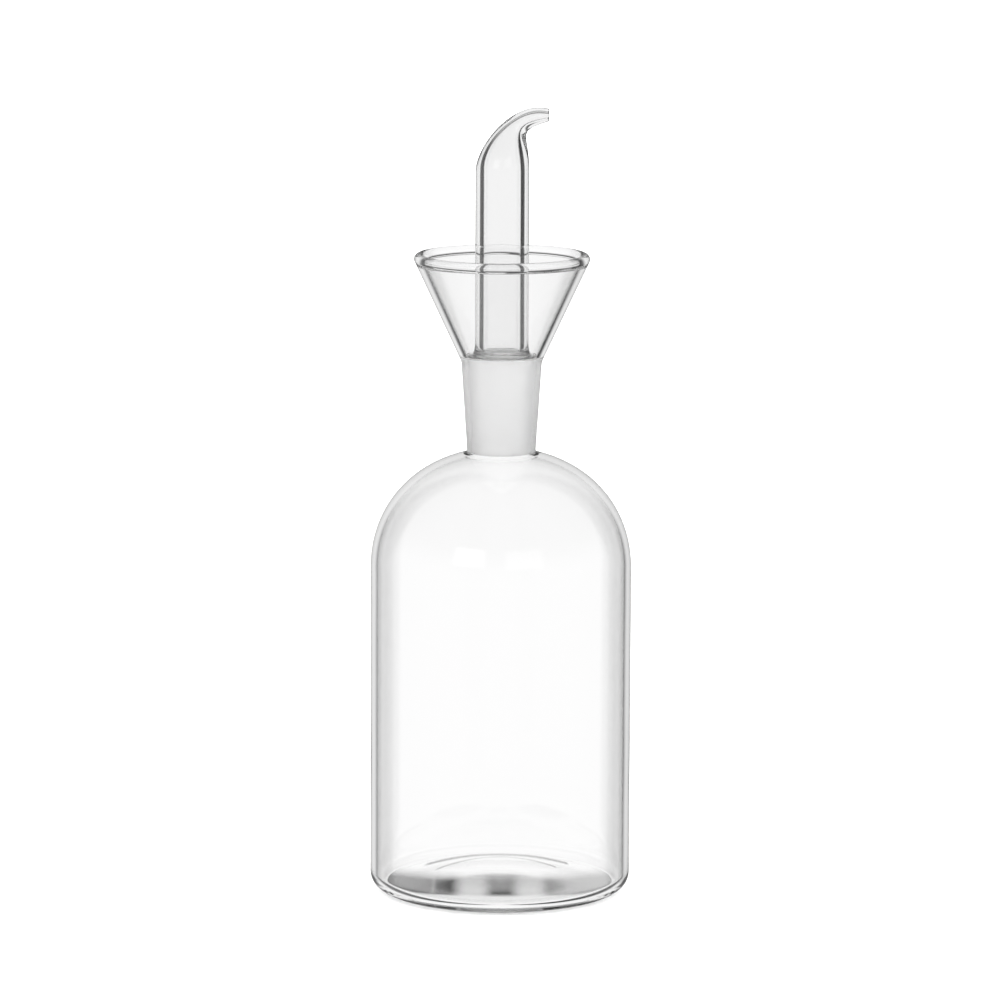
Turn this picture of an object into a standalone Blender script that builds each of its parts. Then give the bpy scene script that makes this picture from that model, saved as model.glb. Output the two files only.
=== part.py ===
# Oil cruet of clear borosilicate glass: a cylindrical bottle with a domed shoulder, a ground
# neck and a funnel collar in one piece, and a hollow glass pourer that stands in the neck.
# Metres, +Z up. The origin is the middle of the bottle's foot and the spout points to +X.
import math

import bmesh
import bpy
from mathutils import Vector

# Bottle body
BODY_RADIUS = 0.035
BODY_WALL = 0.0018
SIDE_TOP = 0.08746
SHOULDER_RISE = 0.0324
SHOULDER_POWER = 2.12  # 2 is an ellipse, more is squarer
FOOT_FILLET = 0.0046

# Base: a flat foot ring round a shallow push-up
BASE_THICKNESS = 0.002
BASE_CROWN = 0.0005  # how much thicker the base is at its middle
BASE_CROWN_REACH = 0.03
FOOT_RING_INSIDE = 0.0215
PUSH_UP = 0.0013

# Ground joint between neck and pourer, a 1:10 taper on the diameter
JOINT_TOP = 0.1455
JOINT_BOTTOM = 0.1186
JOINT_TOP_RADIUS = 0.0092
JOINT_SLOPE = 0.05
JOINT_GAP = 0.0003
JOINT_MOUTH = 0.0002
NECK_RADIUS_LOW = 0.0092
NECK_RADIUS_HIGH = 0.01075
NECK_HIGH = 0.1435
NECK_FILLET = 0.0011

# Funnel collar
BEAD_RADIUS = 0.00145
BEAD_RING_RADIUS = 0.022
BEAD_HEIGHT = 0.171
FUNNEL_WALL = 0.0018

# Pourer: a hollow ground cone, a shoulder that flares up to the tube, and the tube
CONE_WALL = 0.0016
CONE_END_ROUND = 0.0005
CONE_TOP = 0.145
CONE_TOP_ROUND = 0.0005
TUBE_RADIUS = 0.00715
TUBE_WALL = 0.00215
FLARE_TOP = 0.149
BORE_FOOT = 0.1466
HOLLOW_TOP = 0.1446

# Spout: the tube bends to +X and narrows. Its back and front lines are one curve each,
# upright where the bend starts and at the stated slope (radians) where the tip ends.
BEND_START = 0.1943
BACK_RISE = 0.0065
BACK_REACH = 0.0099
BACK_END_X = 0.01172
BACK_END_Z = 0.21124
BACK_END_SLOPE = -0.19
FRONT_RISE = 0.0105
FRONT_REACH = 0.00886
FRONT_END_X = 0.01168
FRONT_END_Z = 0.20757
FRONT_END_SLOPE = 0.327
TIP_WALL = 0.0011
BACK_THINNING = 1.3  # the wall thins along the bend by this power, sooner at its stretched back
FRONT_THINNING = 2.5
LIP_LENGTH = 0.0007

# Fineness of the facets
BOTTLE_STEPS = 56
POURER_STEPS = 36
SHOULDER_POINTS = 11
BEND_RINGS = 14
QUARTER = math.pi / 2


def clear_scene():
    for leftover in list(bpy.data.objects):
        bpy.data.objects.remove(leftover)


def glass(name, roughness):
    """A colourless glass with the given surface roughness."""
    material = bpy.data.materials.new(name)
    material.use_nodes = True
    shader = material.node_tree.nodes["Principled BSDF"]
    shader.inputs["Base Color"].default_value = (0.97, 0.98, 0.98, 1)
    shader.inputs["Roughness"].default_value = roughness
    shader.inputs["Metallic"].default_value = 0
    shader.inputs["IOR"].default_value = 1.47
    shader.inputs["Transmission Weight"].default_value = 1
    return material


def arc(centre, radius, start, end, count):
    """Points on a circle in the (radius, height) plane, from one angle to another."""
    turn = (end - start) / (count - 1)
    return [
        (centre[0] + radius * math.cos(start + turn * i), centre[1] + radius * math.sin(start + turn * i))
        for i in range(count)
    ]


def shoulder_curve(side_radius, rise, end_radius):
    """The domed shoulder as a superellipse, from the side up to the radius where it ends."""
    power = 2 / SHOULDER_POWER
    last = math.acos((end_radius / side_radius) ** (1 / power))
    points = []
    for i in range(SHOULDER_POINTS):
        angle = last * i / (SHOULDER_POINTS - 1)
        radius = side_radius * math.cos(angle) ** power
        points.append((radius, SIDE_TOP + rise * math.sin(angle) ** power))
    return points


def joint_radius(height):
    """Radius of the neck's ground bore at a height."""
    return JOINT_TOP_RADIUS - JOINT_SLOPE * (JOINT_TOP - height)


def push_up_height(radius):
    """Height of the base's underside: a smooth rise inside the foot ring."""
    share = min(radius / FOOT_RING_INSIDE, 1)
    return PUSH_UP * (1 + math.cos(math.pi * share)) / 2


def crown_height(radius):
    """How much the base thickens towards its middle, at a radius."""
    share = min(radius / BASE_CROWN_REACH, 1)
    return BASE_CROWN * (1 + math.cos(math.pi * share)) / 2


def underside(reach):
    """The underside from a radius in to the axis, with the flat foot ring at its edge."""
    radii = [reach] + [FOOT_RING_INSIDE * share for share in (1, 0.8, 0.6, 0.4, 0.2, 0)]
    return [(radius, push_up_height(radius)) for radius in radii]


def funnel_angle():
    """Slope of the funnel's outer side, which runs from the neck to touch the rim's bead."""
    across = BEAD_RING_RADIUS - NECK_RADIUS_HIGH
    up = BEAD_HEIGHT - NECK_HIGH
    return math.atan2(up, across) - math.asin(BEAD_RADIUS / math.hypot(across, up))


def funnel_inside(slope):
    """The funnel's inner side: its foot at the ground bore, and where it meets the bead."""
    inset = FUNNEL_WALL / math.sin(slope)
    foot = (NECK_RADIUS_HIGH + (JOINT_TOP - NECK_HIGH) / math.tan(slope) - inset, JOINT_TOP)
    along = Vector((math.cos(slope), math.sin(slope)))
    to_bead = Vector((BEAD_RING_RADIUS - foot[0], BEAD_HEIGHT - foot[1]))
    nearest = to_bead.dot(along)
    aside = abs(to_bead.cross(along))
    reach = nearest - math.sqrt(BEAD_RADIUS ** 2 - aside ** 2)
    return foot, (foot[0] + reach * along.x, foot[1] + reach * along.y)


def rim_bead(slope, inner_end):
    """The fire-polished rim, from the inner side over the top to the outer side."""
    start = math.atan2(inner_end[1] - BEAD_HEIGHT, inner_end[0] - BEAD_RING_RADIUS) % (2 * math.pi)
    return arc((BEAD_RING_RADIUS, BEAD_HEIGHT), BEAD_RADIUS, start, slope - QUARTER, 11)


def neck_fillet(shoulder_end):
    """The small hollow where the neck's outer side grows out of the shoulder."""
    centre = (NECK_RADIUS_LOW + NECK_FILLET, shoulder_end[1] + NECK_FILLET)
    return arc(centre, NECK_FILLET, math.pi, 1.5 * math.pi, 4)


def bottle_profile():
    """The bottle's section: from the inner floor's middle up inside, over the rim and down outside."""
    slope = funnel_angle()
    inner_radius = BODY_RADIUS - BODY_WALL
    inner_fillet = FOOT_FILLET - BODY_WALL
    below = underside(FOOT_RING_INSIDE)[:0:-1]
    floor = [(radius, height + BASE_THICKNESS + crown_height(radius)) for radius, height in below]
    corner = (inner_radius - inner_fillet, BASE_THICKNESS + inner_fillet)
    floor += arc(corner, inner_fillet, -QUARTER, 0, 5)
    bore_foot = (joint_radius(JOINT_BOTTOM), JOINT_BOTTOM)
    inner_shoulder = shoulder_curve(inner_radius, SHOULDER_RISE - BODY_WALL, bore_foot[0] + NECK_FILLET)
    funnel_foot, funnel_top = funnel_inside(slope)
    outer_shoulder = shoulder_curve(BODY_RADIUS, SHOULDER_RISE, NECK_RADIUS_LOW + NECK_FILLET)
    outer_foot = arc((BODY_RADIUS - FOOT_FILLET, FOOT_FILLET), FOOT_FILLET, 0, -QUARTER, 6)
    return (
        floor
        + inner_shoulder
        + [bore_foot, (JOINT_TOP_RADIUS, JOINT_TOP - JOINT_MOUTH), funnel_foot]
        + rim_bead(slope, funnel_top)
        + [(NECK_RADIUS_HIGH, NECK_HIGH)]
        + neck_fillet(outer_shoulder[-1])[:-1]
        + outer_shoulder[::-1]
        + outer_foot
        + underside(BODY_RADIUS - FOOT_FILLET)[1:]
    )


def make_bottle(material):
    """The profile turned once round the Z axis by a Screw modifier."""
    profile = bottle_profile()
    mesh = bpy.data.meshes.new("bottle")
    points = [(radius, 0, height) for radius, height in profile]
    mesh.from_pydata(points, [(i, i + 1) for i in range(len(points) - 1)], [])
    bottle = bpy.data.objects.new("bottle", mesh)
    bpy.context.scene.collection.objects.link(bottle)
    mesh.materials.append(material)
    screw = bottle.modifiers.new("Turned", "SCREW")
    screw.steps = BOTTLE_STEPS
    screw.render_steps = BOTTLE_STEPS
    screw.use_merge_vertices = True
    screw.merge_threshold = 0.00001
    screw.use_smooth_shade = True
    return bottle


def curve_point(start, rise, end, slope, reach, t):
    """A point on a cubic curve that leaves start straight up and ends at the given slope."""
    after = start + Vector((0, 0, rise))
    before = end - Vector((math.cos(slope), 0, math.sin(slope))) * reach
    u = 1 - t
    return start * u ** 3 + after * 3 * u ** 2 * t + before * 3 * u * t ** 2 + end * t ** 3


def back_point(t):
    """The spout's back line, from the bend's start to the tip."""
    start = Vector((-TUBE_RADIUS, 0, BEND_START))
    end = Vector((BACK_END_X, 0, BACK_END_Z))
    return curve_point(start, BACK_RISE, end, BACK_END_SLOPE, BACK_REACH, t)


def front_point(t):
    """The spout's front line, from the bend's start to the tip."""
    start = Vector((TUBE_RADIUS, 0, BEND_START))
    end = Vector((FRONT_END_X, 0, FRONT_END_Z))
    return curve_point(start, FRONT_RISE, end, FRONT_END_SLOPE, FRONT_REACH, t)


def middle_point(t):
    return (back_point(t) + front_point(t)) / 2


def spout_ring(t, back_wall, front_wall):
    """A ring (middle, reach to its front, half width in Y) between the two lines, less the walls."""
    step = 0.001
    along = (middle_point(min(t + step, 1)) - middle_point(max(t - step, 0))).normalized()
    reach = (front_point(t) - back_point(t)) / 2
    half_width = reach.cross(along).length
    kept = 1 - (back_wall + front_wall) / 2 / half_width
    shift = reach * ((back_wall - front_wall) / 2 / half_width)
    return middle_point(t) + shift, reach * kept, half_width * kept


def spout_outside():
    return [spout_ring(i / BEND_RINGS, 0, 0) for i in range(BEND_RINGS + 1)]


def spout_bore():
    """The bore's rings, from the tip back to the bend's start. The stretched back thins first."""
    bore = []
    for i in range(BEND_RINGS, -1, -1):
        t = i / BEND_RINGS
        back_wall = TIP_WALL + (TUBE_WALL - TIP_WALL) * (1 - t) ** BACK_THINNING
        front_wall = TIP_WALL + (TUBE_WALL - TIP_WALL) * (1 - t ** FRONT_THINNING)
        bore.append(spout_ring(t, back_wall, front_wall))
    return bore


def tip_lip():
    """Rings that round the tip's end from its outside over to its bore."""
    along = (middle_point(1) - middle_point(0.999)).normalized()
    lip = []
    for share, length in ((0.2, 0.8), (0.5, 1), (0.8, 0.8)):
        middle, reach, half_width = spout_ring(1, TIP_WALL * share, TIP_WALL * share)
        lip.append((middle + along * LIP_LENGTH * length, reach, half_width))
    return lip


def upright_rings(profile):
    """Round rings on the Z axis from (radius, height) points."""
    return [(Vector((0, 0, height)), Vector((radius, 0, 0)), radius) for radius, height in profile]


def cone_radius(height):
    """Radius of the pourer's ground cone at a height."""
    return joint_radius(height) - JOINT_GAP


def cone_outside():
    """The ground cone's outer side, its rounded top edge and the flare up to the tube."""
    low_radius = cone_radius(JOINT_BOTTOM)
    edge = (cone_radius(CONE_TOP) - CONE_TOP_ROUND, CONE_TOP)
    outside = [(low_radius - CONE_END_ROUND, JOINT_BOTTOM), (low_radius, JOINT_BOTTOM + CONE_END_ROUND)]
    outside += arc(edge, CONE_TOP_ROUND, 0, QUARTER, 4)
    flare_width = outside[-1][0] - TUBE_RADIUS
    flare_height = FLARE_TOP - outside[-1][1]
    for i in range(1, 7):
        angle = QUARTER * i / 6
        radius = TUBE_RADIUS + flare_width * (1 - math.sin(angle))
        outside.append((radius, FLARE_TOP - flare_height * math.cos(angle)))
    return outside


def cone_inside():
    """The hollow inside the cone, from the tube's bore out and down to the open end."""
    bore_radius = TUBE_RADIUS - TUBE_WALL
    low_radius = cone_radius(JOINT_BOTTOM) - CONE_WALL
    roof_width = cone_radius(HOLLOW_TOP) - CONE_WALL - bore_radius
    roof_height = BORE_FOOT - HOLLOW_TOP
    inside = []
    for i in range(5):
        angle = QUARTER * i / 4
        radius = bore_radius + roof_width * math.sin(angle)
        inside.append((radius, HOLLOW_TOP + roof_height * math.cos(angle)))
    inside.append((low_radius, JOINT_BOTTOM + CONE_END_ROUND))
    inside.append((low_radius + CONE_END_ROUND, JOINT_BOTTOM))
    return inside


def pourer_rings():
    """All rings in order: up the outside, over the tip's lip, down the bore and out of the cone."""
    return (
        upright_rings(cone_outside())
        + spout_outside()
        + tip_lip()
        + spout_bore()
        + upright_rings(cone_inside())
    )


def make_pourer(material):
    """Rings of points joined by faces, the last ring joined to the first."""
    shape = bmesh.new()
    loops = []
    for middle, reach, half_width in pourer_rings():
        loop = []
        for i in range(POURER_STEPS):
            angle = 2 * math.pi * i / POURER_STEPS
            aside = Vector((0, half_width * math.sin(angle), 0))
            loop.append(shape.verts.new(middle + reach * math.cos(angle) + aside))
        loops.append(loop)
    for here, after in zip(loops, loops[1:] + loops[:1]):
        for i in range(POURER_STEPS):
            j = (i + 1) % POURER_STEPS
            shape.faces.new((here[i], here[j], after[j], after[i]))
    bmesh.ops.recalc_face_normals(shape, faces=shape.faces)
    mesh = bpy.data.meshes.new("pourer")
    shape.to_mesh(mesh)
    shape.free()
    mesh.shade_smooth()
    mesh.materials.append(material)
    pourer = bpy.data.objects.new("pourer", mesh)
    bpy.context.scene.collection.objects.link(pourer)
    return pourer


def main():
    clear_scene()
    clear_glass = glass("Clear glass", 0.0)
    ground_glass = glass("Clear glass with a ground cone", 0.05)
    make_bottle(clear_glass)
    make_pourer(ground_glass)


main()
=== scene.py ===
# Oil cruet in clear borosilicate glass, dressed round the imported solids.
# Metres, +Z up, spout towards +X. Both glass pieces are surfaces worked out with numpy.
import math

import bpy
import numpy as np
from mathutils import Matrix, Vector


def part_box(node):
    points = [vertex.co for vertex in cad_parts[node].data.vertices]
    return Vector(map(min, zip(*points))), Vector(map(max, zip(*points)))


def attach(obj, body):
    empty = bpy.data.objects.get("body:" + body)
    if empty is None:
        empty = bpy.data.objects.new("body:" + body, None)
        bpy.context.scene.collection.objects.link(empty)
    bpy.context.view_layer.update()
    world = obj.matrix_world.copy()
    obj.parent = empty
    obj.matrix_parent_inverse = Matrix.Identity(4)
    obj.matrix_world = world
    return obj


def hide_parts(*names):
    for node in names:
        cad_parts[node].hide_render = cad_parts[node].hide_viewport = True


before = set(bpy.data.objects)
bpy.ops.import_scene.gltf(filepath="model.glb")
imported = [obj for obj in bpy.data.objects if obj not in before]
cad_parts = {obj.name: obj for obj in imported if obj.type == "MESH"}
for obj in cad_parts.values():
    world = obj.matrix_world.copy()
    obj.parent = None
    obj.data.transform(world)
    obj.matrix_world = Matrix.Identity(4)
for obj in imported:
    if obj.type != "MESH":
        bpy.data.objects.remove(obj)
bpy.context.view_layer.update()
print("frame loaded:", sorted(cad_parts))

quarterTurn = math.pi / 2


# Stretches of a profile, as (radius, height) points. The last value of each is its count of points.


def crowded(count):
    # Shares from 0 to 1 that crowd at both ends: half of one minus the cosine of an even turn
    return (1 - np.cos(np.linspace(0, math.pi, count))) / 2


def straight(start, end, count):
    # A straight stretch, crowded at its ends so that the shading stays true up to them
    share = crowded(count)[:, None]
    return np.array(start) * (1 - share) + np.array(end) * share


def arc(centre, radius, startAngle, endAngle, count):
    # A circle's stretch: centre plus radius times (cosine, sine) of the angle
    angle = np.linspace(startAngle, endAngle, count)
    return np.column_stack([centre[0] + radius * np.cos(angle), centre[1] + radius * np.sin(angle)])


def roundedCorner(before, corner, after, radius, count):
    # The arc that touches both sides of a corner. Its middle lies on the line that halves the
    # corner, radius / sin(half angle) away, and it meets the sides radius / tan(half angle) away.
    before, corner, after = (np.array(point, float) for point in (before, corner, after))
    inward = (before - corner) / np.linalg.norm(before - corner)
    outward = (after - corner) / np.linalg.norm(after - corner)
    halfAngle = math.acos(inward @ outward) / 2
    halving = (inward + outward) / np.linalg.norm(inward + outward)
    centre = corner + halving * radius / math.sin(halfAngle)
    first = corner + inward * radius / math.tan(halfAngle) - centre
    last = corner + outward * radius / math.tan(halfAngle) - centre
    startAngle = math.atan2(first[1], first[0])
    turn = (math.atan2(last[1], last[0]) - startAngle + math.pi) % (2 * math.pi) - math.pi
    return arc(centre, radius, startAngle, startAngle + turn, count)


def joinStretches(stretches):
    # Joins (points, finish) stretches into one profile and drops points that repeat where they
    # meet. Each step between two points carries the finish of the stretch it belongs to.
    points = np.concatenate([stretch for stretch, _ in stretches])
    finishes = np.concatenate([np.full(len(stretch), finish) for stretch, finish in stretches])
    apart = np.hypot(*np.diff(points, axis=0).T) > 1e-6
    kept = np.concatenate([[True], apart])
    return points[kept], finishes[kept][1:]


# Meshes from grids of points


def glassPiece(name, points, faces, faceFinishes, materials):
    # Puts points and faces in a smooth mesh, with one material slot for each finish
    mesh = bpy.data.meshes.new(name)
    mesh.from_pydata(points.tolist(), [], faces)
    for material in materials:
        mesh.materials.append(material)
    mesh.polygons.foreach_set("material_index", faceFinishes.astype(np.int32))
    mesh.shade_smooth()
    mesh.update()
    piece = bpy.data.objects.new(name, mesh)
    bpy.context.scene.collection.objects.link(piece)
    return piece


def turnedPiece(name, profile, finishes, turns, materials):
    # A profile turned round Z: (r cos a, r sin a, z) for each profile point and angle a.
    # The first and last points lie on the axis, so each of them is one closing point.
    angle = np.linspace(0, 2 * math.pi, turns, endpoint=False)
    radius = profile[1:-1, 0][:, None]
    height = np.repeat(profile[1:-1, 1][:, None], turns, axis=1)
    grid = np.stack([radius * np.cos(angle), radius * np.sin(angle), height], axis=2)
    poles = np.array([[0, 0, profile[0, 1]], [0, 0, profile[-1, 1]]])
    points = np.vstack([grid.reshape(-1, 3), poles])
    rows = len(profile) - 2
    here = np.arange(rows * turns).reshape(rows, turns)
    beside = np.roll(here, -1, axis=1)
    quads = np.stack([here[:-1], here[1:], beside[1:], beside[:-1]], axis=2).reshape(-1, 4)
    firstPole = np.full(turns, rows * turns)
    firstFan = np.column_stack([firstPole, here[0], beside[0]])
    lastFan = np.column_stack([firstPole + 1, beside[-1], here[-1]])
    faces = quads.tolist() + firstFan.tolist() + lastFan.tolist()
    rowFinishes = np.concatenate([finishes[1:-1], finishes[:1], finishes[-1:]])
    return glassPiece(name, points, faces, np.repeat(rowFinishes, turns), materials)


def ringPiece(name, rings, finishes, turns, materials):
    # Ellipses carried along a path and joined, the last one to the first:
    # middle + reach cos a + halfWidth sin a along Y, for each ring and each angle a
    middle, reach, halfWidth = rings
    angle = np.linspace(0, 2 * math.pi, turns, endpoint=False)
    aside = np.zeros((len(middle), turns, 3))
    aside[:, :, 1] = halfWidth[:, None] * np.sin(angle)
    points = middle[:, None, :] + reach[:, None, :] * np.cos(angle)[None, :, None] + aside
    here = np.arange(len(middle) * turns).reshape(len(middle), turns)
    beside = np.roll(here, -1, axis=1)
    after = np.roll(here, -1, axis=0)
    quads = np.stack([here, beside, np.roll(beside, -1, axis=0), after], axis=2).reshape(-1, 4)
    return glassPiece(name, points.reshape(-1, 3), quads.tolist(), np.repeat(finishes, turns), materials)


# Ground joint, shared by the bottle's neck and the pourer's cone

joint = {
    "top": 0.1455,
    "bottom": 0.1186,
    "topRadius": 0.0092,
    "slope": 0.05,  # a 1:10 taper on the diameter
    "gap": 0.0003,  # left all round the cone
}


def neckBoreRadius(height):
    # The radius at the top less the slope times the way down from there
    return joint["topRadius"] - joint["slope"] * (joint["top"] - height)


def coneRadius(height):
    # The bore's radius less the gap
    return neckBoreRadius(height) - joint["gap"]


# Short ways to add shader nodes


def plug(tree, socket, value):
    # Sets a number on a socket, or links a node's output to it
    if isinstance(value, (int, float)):
        socket.default_value = value
    else:
        tree.links.new(value, socket)


def mathNode(tree, operation, first, second=0.0):
    # One sum on numbers or outputs, with the operation that its name says
    node = tree.nodes.new("ShaderNodeMath")
    node.operation = operation
    plug(tree, node.inputs[0], first)
    plug(tree, node.inputs[1], second)
    return node.outputs["Value"]


def fadeNode(tree, value, low, high, before, after):
    # Goes smoothly from one number to another while the value goes from low to high
    node = tree.nodes.new("ShaderNodeMapRange")
    node.interpolation_type = "SMOOTHSTEP"
    for socket, part in zip(node.inputs, (value, low, high, before, after)):
        plug(tree, socket, part)
    return node.outputs["Result"]


def mixNode(tree, share, whenNone, whenAll):
    # Goes evenly from one number to another as the share goes from 0 to 1
    node = tree.nodes.new("ShaderNodeMix")
    plug(tree, node.inputs["Factor"], share)
    plug(tree, node.inputs["A"], whenNone)
    plug(tree, node.inputs["B"], whenAll)
    return node.outputs["Result"]


def colourMix(tree, share, whenNone, whenAll):
    # The same for two colours. The node has sockets of every type, so they're found by theirs.
    node = tree.nodes.new("ShaderNodeMix")
    node.data_type = "RGBA"
    tree.links.new(share, node.inputs["Factor"])
    for socket in node.inputs:
        if socket.type == "RGBA":
            socket.default_value = whenNone if socket.name == "A" else whenAll
    for socket in node.outputs:
        if socket.type == "RGBA":
            return socket


# Glass

glassLook = {
    "index": 1.47,
    "waveSize": 0.03,  # metres from one faint wave of the drawn glass to the next
    "waveHeight": 0.00003,
    "waveDetail": 1,
    "groundColour": (1, 1, 1, 1),
    "groundShadedSide": (0.67, 0.67, 0.67, 1),  # painted shade: its colour where it turns away
    "groundTurn": (0.08, 0.34),  # facing values between which it turns away
    "groundClear": 0.45,  # share of the light that a ground face lets through, the rest it scatters
    "groundRoughness": (0.4, 0.52),
    "grainSize": 0.0004,
    "grainHeight": 0.00001,
    "grainDetail": 3,
}

# Each clear surface: its colour seen square on, then the painted shade that darkens it towards edge on, as
# the facing value where that starts, the value where it is full, and the share of light left there
clearSurfaces = {
    "bottleOutside": (0.99, 0.9, 0.99, 0.4),
    "rimBead": (0.99, 0.84, 0.99, 0.1),
    "wallInside": (0.99, 0.86, 0.98, 0.3),
    "funnelInside": (0.955, 0.62, 0.92, 0.2),
    "floorInside": (0.99, 0.5, 0.7, 0.004),
    "pourerOutside": (0.945, 0.84, 0.98, 0.35),
    "boreInside": (0.945, 0.6, 0.88, 0.05),
}

# Painted shade on the pressed base's inner floor: dark marks that stand in for what the base refracts and
# mirrors, shown only at a low angle
basePaintedShade = {
    "near": (-0.012, 0.003),  # where along Y they end, at the middle
    "nearEnd": (-0.0235, -0.018),  # and where they begin
    "spread": 0.5,  # how much farther back they reach, as a share of the distance across X
    "width": 0.0153,  # from one painted dark mark to the next across X
    "place": 0.0004,  # the middle one's place in X
    "wave": (-1.0, 0.8),  # cosine values between which a painted mark darkens
    "between": 0.35,  # the share left between two smudges
    "outer": (0.011, 0.019),  # distances from the middle between which they run together
    "outerShare": 0.99,
    "fading": (0.002, 0.02),  # where along X they grow fainter
    "faintest": 0.82,
}

# Painted shade: two grey arcs on the far part of the base that stand in for what its inner corner refracts,
# each as a line y = middle - bend x squared, with how dark it is at its middle and towards its ends
basePaintedArcs = [
    {"middle": 0.0295, "bend": 31, "ends": (-0.0215, 0.0195), "halfWidth": 0.0028, "shares": (0.75, 0.97)},
    {"middle": 0.0262, "bend": 52, "ends": (-0.0185, 0.016), "halfWidth": 0.0018, "shares": (0.45, 0.9)},
]

paintedArcLook = {
    "turn": (0.3, 0.5),  # facing values between which the arcs come up, so they're gone from above
    "darker": (0.004, 0.016),  # distances from the middle between which they darken
    "leftFade": 0.002,  # lengths over which their ends fade
    "rightFade": 0.001,
}


def newGlass(name, colour):
    # A clear smooth glass, with its index and clearness on the shader's own sockets
    material = bpy.data.materials.new(name)
    material.use_nodes = True
    shader = material.node_tree.nodes["Principled BSDF"]
    shader.inputs["Base Color"].default_value = colour
    shader.inputs["Roughness"].default_value = 0
    shader.inputs["IOR"].default_value = glassLook["index"]
    shader.inputs["Transmission Weight"].default_value = 1
    return material, shader


def noiseBump(material, shader, size, detail, height):
    # A relief of soft noise in Object coordinates, its size and height in metres
    nodes, links = material.node_tree.nodes, material.node_tree.links
    place = nodes.new("ShaderNodeTexCoord")
    noise = nodes.new("ShaderNodeTexNoise")
    noise.inputs["Scale"].default_value = 1 / size
    noise.inputs["Detail"].default_value = detail
    bump = nodes.new("ShaderNodeBump")
    bump.inputs["Distance"].default_value = height
    links.new(place.outputs["Object"], noise.inputs["Vector"])
    links.new(noise.outputs["Fac"], bump.inputs["Height"])
    links.new(bump.outputs["Normal"], shader.inputs["Normal"])
    return noise


def clearGlass(name, paintedShade=None, paintedArcs=()):
    # Drawn glass: faintly wavy, with painted shade that darkens it where it is seen edge on, and any
    # painted shade marks it is given
    colour, start, full, left = clearSurfaces[name]
    material, shader = newGlass(name, (colour, colour, colour, 1))
    noiseBump(material, shader, glassLook["waveSize"], glassLook["waveDetail"], glassLook["waveHeight"])
    tree = material.node_tree
    facing = tree.nodes.new("ShaderNodeLayerWeight").outputs["Facing"]
    shade = fadeNode(tree, facing, start, full, 0.0, 1.0)
    if paintedShade:
        shade = mathNode(tree, "MULTIPLY", shade, paintedShadeShare(tree, paintedShade))
    for band in paintedArcs:
        turned = fadeNode(tree, facing, *paintedArcLook["turn"], 0.0, 1.0)
        shown = mathNode(tree, "MULTIPLY", turned, paintedArcShare(tree, band))
        shade = mathNode(tree, "MAXIMUM", shade, shown)
    paintedShadeColour = colourMix(tree, shade, (colour, colour, colour, 1), (left, left, left, 1))
    tree.links.new(paintedShadeColour, shader.inputs["Base Color"])
    return material


def objectPlace(tree):
    # The X, Y and Z of the place on the object
    split = tree.nodes.new("ShaderNodeSeparateXYZ")
    tree.links.new(tree.nodes.new("ShaderNodeTexCoord").outputs["Object"], split.inputs["Vector"])
    return split.outputs


def paintedArcShare(tree, band):
    # How dark a painted arc of shade is: a soft band along its line, fainter at the middle than towards its
    # ends
    across, back, _ = objectPlace(tree)
    squared = mathNode(tree, "MULTIPLY", across, across)
    line = mathNode(tree, "ADD", back, mathNode(tree, "MULTIPLY", squared, band["bend"]))
    off = mathNode(tree, "ABSOLUTE", mathNode(tree, "SUBTRACT", line, band["middle"]))
    left, right = band["ends"]
    fromLeft = fadeNode(tree, across, left, left + paintedArcLook["leftFade"], 0.0, 1.0)
    toRight = fadeNode(tree, across, right - paintedArcLook["rightFade"], right, 1.0, 0.0)
    share = fadeNode(tree, mathNode(tree, "ABSOLUTE", across), *paintedArcLook["darker"], *band["shares"])
    share = mathNode(tree, "MULTIPLY", share, fromLeft)
    share = mathNode(tree, "MULTIPLY", share, toRight)
    return fadeNode(tree, off, 0.0, band["halfWidth"], share, 0.0)


def paintedShadeShare(tree, paintedShade):
    # How dark the painted shade is: waves across X, fainter to the right, on the near part of the floor
    across, back, _ = objectPlace(tree)
    turn = mathNode(tree, "SUBTRACT", across, paintedShade["place"])
    turn = mathNode(tree, "MULTIPLY", turn, 2 * math.pi / paintedShade["width"])
    wave = fadeNode(tree, mathNode(tree, "COSINE", turn), *paintedShade["wave"], paintedShade["between"], 1.0)
    aside = mathNode(tree, "ABSOLUTE", across)
    outer = fadeNode(tree, aside, *paintedShade["outer"], 0.0, paintedShade["outerShare"])
    wave = mathNode(tree, "MAXIMUM", wave, outer)
    fading = fadeNode(tree, across, *paintedShade["fading"], 1.0, paintedShade["faintest"])
    reach = mathNode(tree, "MULTIPLY", aside, paintedShade["spread"])
    near = fadeNode(tree, mathNode(tree, "SUBTRACT", back, reach), *paintedShade["near"], 1.0, 0.0)
    near = mathNode(tree, "MULTIPLY", near, fadeNode(tree, back, *paintedShade["nearEnd"], 0.0, 1.0))
    return mathNode(tree, "MULTIPLY", mathNode(tree, "MULTIPLY", wave, fading), near)


def groundGlass():
    # The joint's ground faces: matt, with a fine grain that also varies their roughness, and painted shade
    # where they turn away
    material, shader = newGlass("ground glass", glassLook["groundColour"])
    shader.inputs["Transmission Weight"].default_value = glassLook["groundClear"]
    size, detail, height = glassLook["grainSize"], glassLook["grainDetail"], glassLook["grainHeight"]
    noise = noiseBump(material, shader, size, detail, height)
    nodes, links = material.node_tree.nodes, material.node_tree.links
    vary = nodes.new("ShaderNodeMapRange")
    vary.inputs["To Min"].default_value = glassLook["groundRoughness"][0]
    vary.inputs["To Max"].default_value = glassLook["groundRoughness"][1]
    links.new(noise.outputs["Fac"], vary.inputs["Value"])
    links.new(vary.outputs["Result"], shader.inputs["Roughness"])
    facing = nodes.new("ShaderNodeLayerWeight").outputs["Facing"]
    turned = fadeNode(material.node_tree, facing, *glassLook["groundTurn"], 0.0, 1.0)
    colour = colourMix(material.node_tree, turned, glassLook["groundColour"], glassLook["groundShadedSide"])
    links.new(colour, shader.inputs["Base Color"])
    return material


# Bottle

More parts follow.
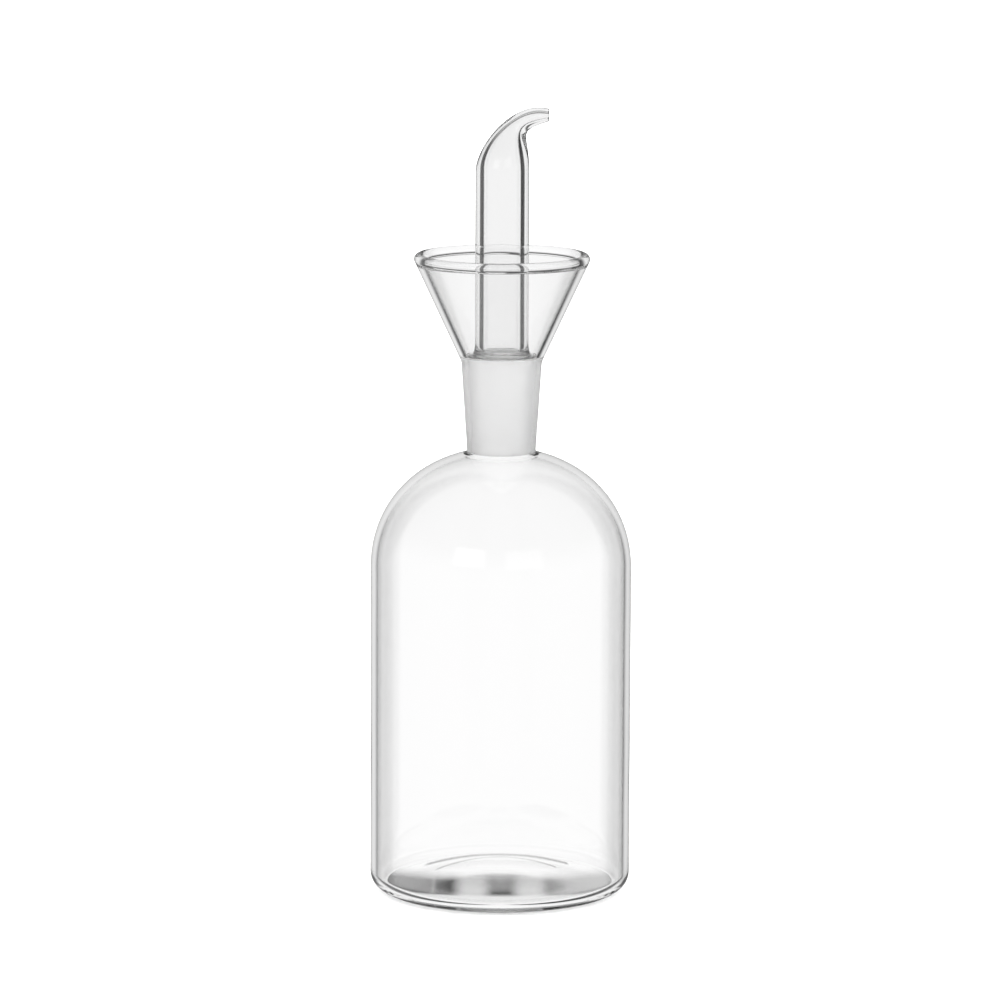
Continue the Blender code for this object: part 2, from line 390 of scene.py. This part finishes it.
bottleShape = {
    "wall": 0.0018,
    "sideTop": 0.08746,
    "shoulderRise": 0.0324,
    "shoulderPower": 2.12,  # 2 is an ellipse, more is squarer
    "footFillet": 0.0046,
    "baseThickness": 0.002,
    "crown": 0.0005,  # how much thicker the base is at its middle
    "crownReach": 0.03,
    "footRingInside": 0.0215,
    "pushUp": 0.0013,
    "neckRadiusLow": 0.0092,
    "neckRadiusHigh": 0.01075,
    "neckHigh": 0.1435,
    "neckFillet": 0.0011,
    "neckBend": 0.004,  # radius of the soft bend from the neck to the funnel
    "boreEdge": 0.0002,  # how far below the joint's top the ground face ends
    "funnelWall": 0.0018,
    "beadRadius": 0.00145,
    "beadRingRadius": 0.022,
    "beadHeight": 0.171,
    "turns": 192,
}

# The slot of each finish in the bottle's materials
bottleFinish = {"outside": 0, "ground": 1, "wall": 2, "funnel": 3, "floor": 4, "rim": 5}


def shoulderLine(s, sideRadius, rise, endRadius, count):
    # A superellipse: r = side cos(a)^(2/n), z = side's top + rise sin(a)^(2/n), to the end radius
    power = 2 / s["shoulderPower"]
    lastAngle = math.acos((endRadius / sideRadius) ** (1 / power))
    angle = np.linspace(0, lastAngle, count)
    return np.column_stack(
        [sideRadius * np.cos(angle) ** power, s["sideTop"] + rise * np.sin(angle) ** power]
    )


def underLine(s, end, count):
    # The underside out from the axis: a push-up shaped like a cosine, then the flat foot ring
    radius = np.linspace(0, s["footRingInside"], count)
    height = s["pushUp"] * (1 + np.cos(math.pi * radius / s["footRingInside"])) / 2
    ring = straight((s["footRingInside"], 0), (end, 0), 8)
    return np.vstack([np.column_stack([radius, height]), ring[1:]])


def crownHeight(s, radius):
    # How much the base thickens towards its middle: another cosine
    return s["crown"] * (1 + np.cos(math.pi * np.minimum(radius / s["crownReach"], 1))) / 2


def funnelSlope(s):
    # The funnel's outer side leaves the neck and touches the rim's bead
    across = s["beadRingRadius"] - s["neckRadiusHigh"]
    up = s["beadHeight"] - s["neckHigh"]
    return math.atan2(up, across) - math.asin(s["beadRadius"] / math.hypot(across, up))


def insideStretches(s, bodyRadius):
    # Inner floor, wall and shoulder, up to the foot of the ground bore
    innerRadius = bodyRadius - s["wall"]
    fillet = s["footFillet"] - s["wall"]
    thickness = s["baseThickness"]
    floor = underLine(s, innerRadius - fillet, 48)
    floor[:, 1] += thickness + crownHeight(s, floor[:, 0])
    corner = arc((innerRadius - fillet, thickness + fillet), fillet, -quarterTurn, 0, 14)
    side = straight(corner[-1], (innerRadius, s["sideTop"]), 24)
    boreFoot = (neckBoreRadius(joint["bottom"]), joint["bottom"])
    endRadius = boreFoot[0] + s["neckFillet"]
    shoulder = shoulderLine(s, innerRadius, s["shoulderRise"] - s["wall"], endRadius, 60)
    foot = straight(shoulder[-1], boreFoot, 4)
    f = bottleFinish
    return [(floor, f["floor"])] + [(stretch, f["wall"]) for stretch in (corner, side, shoulder, foot)]


def funnelStretches(s):
    # Ground bore, funnel inside, bead, funnel outside and neck, down to the neck's fillet
    slope = funnelSlope(s)
    boreFoot = (neckBoreRadius(joint["bottom"]), joint["bottom"])
    inset = s["funnelWall"] / math.sin(slope)
    footRadius = s["neckRadiusHigh"] + (joint["top"] - s["neckHigh"]) / math.tan(slope) - inset
    foot = np.array((footRadius, joint["top"]))
    along = np.array((math.cos(slope), math.sin(slope)))
    bead = np.array((s["beadRingRadius"], s["beadHeight"]))
    toBead = bead - foot
    aside = toBead[0] * along[1] - toBead[1] * along[0]
    innerTop = foot + along * (toBead @ along - math.sqrt(s["beadRadius"] ** 2 - aside ** 2))
    beadStart = math.atan2(*(innerTop - bead)[::-1]) % (2 * math.pi)
    rim = arc(bead, s["beadRadius"], beadStart, slope - quarterTurn, 40)
    neckTop = (s["neckRadiusHigh"], s["neckHigh"])
    neckFoot = (s["neckRadiusLow"], s["sideTop"] + s["shoulderRise"])
    bend = roundedCorner(rim[-1], neckTop, neckFoot, s["neckBend"], 10)
    boreTop = (joint["topRadius"], joint["top"] - s["boreEdge"])
    f = bottleFinish
    return [
        (straight(boreFoot, boreTop, 16), f["ground"]),
        (straight(boreTop, foot, 4), f["funnel"]),
        (straight(foot, innerTop, 20), f["funnel"]),
        (rim, f["rim"]),
        (straight(rim[-1], bend[0], 20), f["outside"]),
        (bend, f["outside"]),
    ]


def outsideStretches(s, bodyRadius, neckBendEnd):
    # Neck, fillet, shoulder, side and foot, in to the axis
    endRadius = s["neckRadiusLow"] + s["neckFillet"]
    shoulder = shoulderLine(s, bodyRadius, s["shoulderRise"], endRadius, 60)[::-1]
    centre = (endRadius, shoulder[0, 1] + s["neckFillet"])
    fillet = arc(centre, s["neckFillet"], math.pi, 1.5 * math.pi, 12)
    side = straight(shoulder[-1], (bodyRadius, s["footFillet"]), 24)
    foot = arc((bodyRadius - s["footFillet"], s["footFillet"]), s["footFillet"], 0, -quarterTurn, 18)
    under = underLine(s, bodyRadius - s["footFillet"], 24)[::-1]
    neck = straight(neckBendEnd, fillet[0], 16)
    return [(stretch, bottleFinish["outside"]) for stretch in (neck, fillet, shoulder, side, foot, under)]


def makeBottle(materials):
    # The inside, the funnel and the outside as one profile from the axis to the axis, turned round Z
    s = bottleShape
    low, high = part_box("bottle")
    bodyRadius = (high[0] - low[0]) / 2
    funnel = funnelStretches(s)
    inside = insideStretches(s, bodyRadius)
    outside = outsideStretches(s, bodyRadius, funnel[-1][0][-1])
    profile, finishes = joinStretches(inside + funnel + outside)

    bottle = turnedPiece("bottleGlass", profile, finishes, s["turns"], materials)
    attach(bottle, "root")
    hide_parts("bottle")
    print("bottle:", len(profile), "profile points,", len(bottle.data.polygons), "faces")


# Pourer

pourerShape = {
    "coneWall": 0.0016,
    "coneEndRound": 0.0005,
    "coneTop": 0.145,
    "coneTopRound": 0.0005,
    "tubeRadius": 0.00715,
    "tubeWall": 0.00215,
    "flareTop": 0.149,
    "boreFoot": 0.1466,
    "hollowTop": 0.1446,
    "bendStart": 0.1943,
    "backRise": 0.0065,
    "backReach": 0.0099,
    "backEnd": (0.01172, 0.21124),
    "backEndSlope": -0.19,
    "frontRise": 0.0105,
    "frontReach": 0.00886,
    "frontEnd": (0.01168, 0.20757),
    "frontEndSlope": 0.327,
    "slopeStep": 0.001,  # share of the bend over which its direction is taken
    "tipWall": 0.0011,
    "lipLength": 0.0007,
    "backThinning": 1.3,  # powers by which the walls thin along the bend, the stretched back first
    "frontThinning": 2.5,
    "turns": 96,
    "bendRings": 90,
}

# The slot of each finish in the pourer's materials
pourerFinish = {"outside": 0, "ground": 1, "bore": 2}


def sideLine(s, side, startX, t):
    # A cubic curve in the XZ plane that leaves its start straight up and ends at the given slope:
    # start u^3 + after 3 u^2 t + before 3 u t^2 + end t^3, where u is 1 - t
    start, end = np.array((startX, s["bendStart"])), np.array(s[side + "End"])
    slope = s[side + "EndSlope"]
    after = start + (0, s[side + "Rise"])
    before = end - s[side + "Reach"] * np.array((math.cos(slope), math.sin(slope)))
    t = t[:, None]
    u = 1 - t
    return start * u ** 3 + after * 3 * u ** 2 * t + before * 3 * u * t ** 2 + end * t ** 3


def spoutLines(s, t):
    # The spout's back and front lines from the bend's start to the tip
    return sideLine(s, "back", -s["tubeRadius"], t), sideLine(s, "front", s["tubeRadius"], t)


def inSpace(flat):
    # XZ points as points in space
    return np.column_stack([flat[:, 0], np.zeros(len(flat)), flat[:, 1]])


def spoutRings(s, t, backWall, frontWall):
    # Ellipses between the two lines: middle, reach to the front, half width in Y, less the walls
    back, front = spoutLines(s, t)
    earlier = spoutLines(s, np.maximum(t - s["slopeStep"], 0))
    later = spoutLines(s, np.minimum(t + s["slopeStep"], 1))
    along = later[0] + later[1] - earlier[0] - earlier[1]
    along /= np.linalg.norm(along, axis=1)[:, None]
    reach = (front - back) / 2
    halfWidth = np.abs(reach[:, 0] * along[:, 1] - reach[:, 1] * along[:, 0])
    kept = 1 - (backWall + frontWall) / 2 / halfWidth
    shift = (backWall - frontWall) / 2 / halfWidth
    middle = (back + front) / 2 + reach * shift[:, None]
    return inSpace(middle), inSpace(reach * kept[:, None]), halfWidth * kept


def uprightRings(profile):
    # Round rings on the Z axis from (radius, height) points
    none = np.zeros(len(profile))
    middle = np.column_stack([none, none, profile[:, 1]])
    return middle, np.column_stack([profile[:, 0], none, none]), profile[:, 0].copy()


def tipLip(s, angle):
    # The fire-polished end: rings that step over the wall's end on half an ellipse
    wall = s["tipWall"] * (1 - np.cos(angle)) / 2
    middle, reach, halfWidth = spoutRings(s, np.ones(len(angle)), wall, wall)
    back, front = spoutLines(s, np.array([1 - s["slopeStep"], 1]))
    along = inSpace(np.diff(back + front, axis=0))
    along /= np.linalg.norm(along)
    return middle + along * (s["lipLength"] * np.sin(angle))[:, None], reach, halfWidth


def coneOutside(s):
    # Ground side, rounded top edge, then a quarter ellipse that flares in and up to the tube
    endHeight = joint["bottom"] + s["coneEndRound"]
    end = arc((coneRadius(endHeight) - s["coneEndRound"], endHeight), s["coneEndRound"], -quarterTurn, 0, 6)
    edge = (coneRadius(s["coneTop"]) - s["coneTopRound"], s["coneTop"])
    topEdge = arc(edge, s["coneTopRound"], 0, quarterTurn, 8)
    flareWidth = topEdge[-1, 0] - s["tubeRadius"]
    flareHeight = s["flareTop"] - topEdge[-1, 1]
    angle = np.linspace(0, quarterTurn, 24)
    flare = np.column_stack(
        [s["tubeRadius"] + flareWidth * (1 - np.sin(angle)), s["flareTop"] - flareHeight * np.cos(angle)]
    )
    tube = straight(flare[-1], (s["tubeRadius"], s["bendStart"]), 16)
    f = pourerFinish
    below = [(end, f["outside"]), (straight(end[-1], topEdge[0], 16), f["ground"])]
    return joinStretches(below + [(stretch, f["outside"]) for stretch in (topEdge, flare, tube)])


def coneInside(s):
    # The tube's bore down to its foot, the roof of the cone's hollow, and the hollow's side
    boreRadius = s["tubeRadius"] - s["tubeWall"]
    endHeight = joint["bottom"] + s["coneEndRound"]
    endRadius = coneRadius(endHeight) - s["coneWall"] + s["coneEndRound"]
    roofWidth = coneRadius(s["hollowTop"]) - s["coneWall"] - boreRadius
    bore = straight((boreRadius, s["bendStart"]), (boreRadius, s["boreFoot"]), 24)
    angle = np.linspace(0, quarterTurn, 16)
    roofRise = s["boreFoot"] - s["hollowTop"]
    roof = np.column_stack(
        [boreRadius + roofWidth * np.sin(angle), s["hollowTop"] + roofRise * np.cos(angle)]
    )
    end = arc((endRadius, endHeight), s["coneEndRound"], math.pi, 1.5 * math.pi, 6)
    side = straight(roof[-1], end[0], 16)
    return joinStretches([(stretch, pourerFinish["bore"]) for stretch in (bore, roof, side, end)])


def makePourer(materials):
    # Rings up the outside to the tip, over its lip and down the bore, joined to the first again.
    # The wall at the bend is the tip's plus what the tube has more, times a power of the way along.
    s = pourerShape
    t = np.linspace(0, 1, s["bendRings"])
    none = np.zeros(len(t))
    outside, outsideFinishes = coneOutside(s)
    inside, _ = coneInside(s)
    thinning = s["tubeWall"] - s["tipWall"]
    backWall = s["tipWall"] + thinning * (1 - t) ** s["backThinning"]
    frontWall = s["tipWall"] + thinning * (1 - t ** s["frontThinning"])
    bore = [part[::-1] for part in spoutRings(s, t, backWall, frontWall)]
    parts = [
        uprightRings(outside[:-1]),
        spoutRings(s, t, none, none),
        tipLip(s, np.linspace(0, math.pi, 12)[1:-1]),
        bore,
        uprightRings(inside[1:]),
    ]
    rings = [np.concatenate([part[k] for part in parts]) for k in range(3)]
    finishes = np.full(len(rings[0]), pourerFinish["bore"])
    finishes[: len(outside) + len(t)] = pourerFinish["outside"]
    finishes[: len(outsideFinishes)] = outsideFinishes
    pourer = ringPiece("pourerGlass", rings, finishes, s["turns"], materials)
    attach(pourer, "root")
    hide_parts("pourer")
    print("pourer:", len(rings[0]), "rings,", len(pourer.data.polygons), "faces")


# Camera, floor and light

cameraPlace = {
    "aside": -0.0003,
    "distance": 1.4631,
    "height": 0.3491,
    "pitchDown": 9.434,
    "roll": 0.228,
    "lens": 199.23,
    "sensor": 36,
    "farthest": 50,
}

floorLook = {
    "size": 12,
    "white": 0.9,
    "roughness": 0.9,
    "below": 0.0003,
}

# Strengths are shares of the white sweep's light. Heights are sines of the angle above level,
# and turns are cosines of the angle away from the sweep's middle, behind the cruet.
studioLight = {
    "sweep": 1.025,  # the sweep as it is seen through the glass
    "ceiling": 0.03,
    "lamp": 1.0,  # a long lamp overhead to the left, seen through the glass
    "lampLow": (0.28, 0.42),  # its lower edge
    "lampLeft": (-0.65, -0.5),  # and its edges to the left and right
    "lampRight": (0.0, 0.1),
    "sweepTop": (0.02, 0.26),  # where the sweep seen through glass fades into the dark ceiling
    "mirroredTop": (0.21, 0.33),  # the same in the base, where it is dark above
    "mirroredBand": (0.44, 0.6),  # and where that dark band ends again
    "edgeTop": (0.15, 0.6),  # and in a wall seen edge on, where it is dimmer above
    "edgeCeiling": 0.5,
    "sweepEdge": (0.8, 0.94),  # where the sweep ends in the dark strips that stand beside it
    "stripEdge": (0.35, 0.48),  # where the strips end in the room's sides
    "stripLeft": 0.06,
    "stripRight": 0.0,
    "stripTurn": (-0.3, 0.3),  # where along X the left strip's light turns into the right one's
    "sides": 0.9,
    "pastWall": 2.5,  # more surfaces passed than this, and a ray comes from the base
    "glossFront": 0.85,  # what the outside mirrors of the room
    "glossEdge": (0.2, 0.75),  # and where that ends in what it mirrors close to the sweep
    "glossLeft": 0.3,
    "glossRight": 0.15,
    "glossTurn": (-0.5, 0.5),  # where along X the left's turns into the right's
    "glossCeiling": 0.25,
    "glossTop": (0.0, 0.4),  # where the mirrored room fades into its ceiling
    "floorLight": 2.2,  # what lights the floor, and the ground glass that scatters
    "windowEdges": (0.12, 0.07),  # how soft the windows are across and upwards
    "windows": [  # turn from -Y to the right and height, each from and to, and strength
        (-0.82, -0.2, 0.13, 0.48, 1.6),
        (0.02, 0.73, 0.1, 0.46, 0.9),
    ],
}


def makeCamera():
    # Looks along +Y, pitched down, then rolled about its own axis
    c = cameraPlace
    camera = bpy.data.objects.new("camera", bpy.data.cameras.new("camera"))
    camera.data.lens = c["lens"]
    camera.data.sensor_width = c["sensor"]
    camera.data.clip_end = c["farthest"]
    place = Matrix.Translation((c["aside"], -c["distance"], c["height"]))
    tilt = Matrix.Rotation(math.radians(90 - c["pitchDown"]), 4, "X")
    camera.matrix_world = place @ tilt @ Matrix.Rotation(math.radians(c["roll"]), 4, "Z")
    bpy.context.scene.collection.objects.link(camera)
    bpy.context.scene.camera = camera


def makeFloor():
    # One square of paper just below the foot. In the glass the world's sweep stands in for it.
    half = floorLook["size"] / 2
    around = ((-half, -half), (half, -half), (half, half), (-half, half))
    corners = [(x, y, -floorLook["below"]) for x, y in around]
    mesh = bpy.data.meshes.new("floor")
    mesh.from_pydata(corners, [], [(0, 1, 2, 3)])
    floor = bpy.data.objects.new("floor", mesh)
    bpy.context.scene.collection.objects.link(floor)
    paper = bpy.data.materials.new("white paper")
    paper.use_nodes = True
    shader = paper.node_tree.nodes["Principled BSDF"]
    shader.inputs["Base Color"].default_value = (floorLook["white"],) * 3 + (1,)
    shader.inputs["Roughness"].default_value = floorLook["roughness"]
    mesh.materials.append(paper)
    floor.visible_transmission = False
    floor.visible_glossy = False


def windowPatch(tree, turn, up, left, right, low, high, strength):
    # A soft-edged bright patch between two turns and two heights
    softAcross, softUp = studioLight["windowEdges"]
    fromLeft = fadeNode(tree, turn, left, left + softAcross, 0.0, 1.0)
    toRight = fadeNode(tree, turn, right - softAcross, right, 1.0, 0.0)
    fromLow = fadeNode(tree, up, low, low + softUp, 0.0, 1.0)
    toHigh = fadeNode(tree, up, high - softUp, high, 1.0, 0.0)
    across = mathNode(tree, "MULTIPLY", fromLeft, toRight)
    upright = mathNode(tree, "MULTIPLY", fromLow, toHigh)
    return mathNode(tree, "MULTIPLY", mathNode(tree, "MULTIPLY", across, upright), strength)


def makeWorld():
    # A white sweep seen straight and through the glass, and the darker room that the glass mirrors.
    # Each kind of ray gets its own light: through the glass, mirrored outside, mirrored inside a
    # wall or the base, from the floor, and straight to the camera.
    w = studioLight
    world = bpy.data.worlds.new("studio")
    bpy.context.scene.world = world
    world.use_nodes = True
    world.cycles.sampling_method = "NONE"
    tree = world.node_tree
    background = tree.nodes["Background"]
    background.inputs["Color"].default_value = (1, 1, 1, 1)
    place = tree.nodes.new("ShaderNodeTexCoord")
    split = tree.nodes.new("ShaderNodeSeparateXYZ")
    tree.links.new(place.outputs["Generated"], split.inputs["Vector"])
    east, north, up = split.outputs
    light = tree.nodes.new("ShaderNodeLightPath")
    level = mathNode(tree, "SQRT", mathNode(tree, "SUBTRACT", 1.0, mathNode(tree, "MULTIPLY", up, up)))
    facingSweep = mathNode(tree, "DIVIDE", north, level)

    overhead = fadeNode(tree, east, *w["lampLeft"], w["ceiling"], w["lamp"])
    overhead = fadeNode(tree, east, *w["lampRight"], overhead, w["ceiling"])
    overhead = fadeNode(tree, up, *w["lampLow"], w["ceiling"], overhead)
    through = fadeNode(tree, up, *w["sweepTop"], w["sweep"], overhead)

    strips = fadeNode(tree, east, *w["stripTurn"], w["stripLeft"], w["stripRight"])
    sides = fadeNode(tree, facingSweep, *w["stripEdge"], w["sides"], strips)
    around = fadeNode(tree, facingSweep, *w["sweepEdge"], sides, 1.0)
    edge = fadeNode(tree, up, *w["edgeTop"], around, w["edgeCeiling"])
    base = fadeNode(tree, up, *w["mirroredTop"], around, strips)
    base = fadeNode(tree, up, *w["mirroredBand"], base, around)
    isPastWall = mathNode(tree, "GREATER_THAN", light.outputs["Transmission Depth"], w["pastWall"])
    inside = mixNode(tree, isPastWall, edge, base)

    beside = fadeNode(tree, east, *w["glossTurn"], w["glossLeft"], w["glossRight"])
    outside = fadeNode(tree, facingSweep, *w["glossEdge"], w["glossFront"], beside)
    outside = fadeNode(tree, up, *w["glossTop"], outside, w["glossCeiling"])
    turn = mathNode(tree, "ARCTAN2", east, mathNode(tree, "MULTIPLY", north, -1.0))
    for window in w["windows"]:
        outside = mathNode(tree, "ADD", outside, windowPatch(tree, turn, up, *window))

    isMirrored = mathNode(tree, "GREATER_THAN", light.outputs["Glossy Depth"], 0.5)
    isInside = mathNode(tree, "GREATER_THAN", light.outputs["Transmission Depth"], 0.5)
    isFromFloor = mathNode(tree, "GREATER_THAN", light.outputs["Diffuse Depth"], 0.5)
    strength = mixNode(tree, isMirrored, through, mixNode(tree, isInside, outside, inside))
    strength = mixNode(tree, isFromFloor, strength, w["floorLight"])
    strength = mixNode(tree, light.outputs["Is Camera Ray"], strength, 1.0)
    tree.links.new(strength, background.inputs["Strength"])


# How often light may pass or bounce: enough for every wall of both pieces
bounces = {
    "all": 32,
    "glossy": 24,
    "diffuse": 3,
}


def setLook():
    # Plain view colours, so that white paper comes out white
    scene = bpy.context.scene
    scene.view_settings.view_transform = "Standard"
    scene.cycles.max_bounces = bounces["all"]
    scene.cycles.transmission_bounces = bounces["all"]
    scene.cycles.glossy_bounces = bounces["glossy"]
    scene.cycles.diffuse_bounces = bounces["diffuse"]


makeCamera()
ground = groundGlass()
# The inner floor also carries painted shade: dark marks and arcs that show at a low angle
floorGlass = clearGlass("floorInside", basePaintedShade, basePaintedArcs)
inner = [clearGlass("wallInside"), clearGlass("funnelInside"), floorGlass]
makeBottle([clearGlass("bottleOutside"), ground] + inner + [clearGlass("rimBead")])
makePourer([clearGlass("pourerOutside"), ground, clearGlass("boreInside")])
makeFloor()
makeWorld()
setLook()
print("studio set")
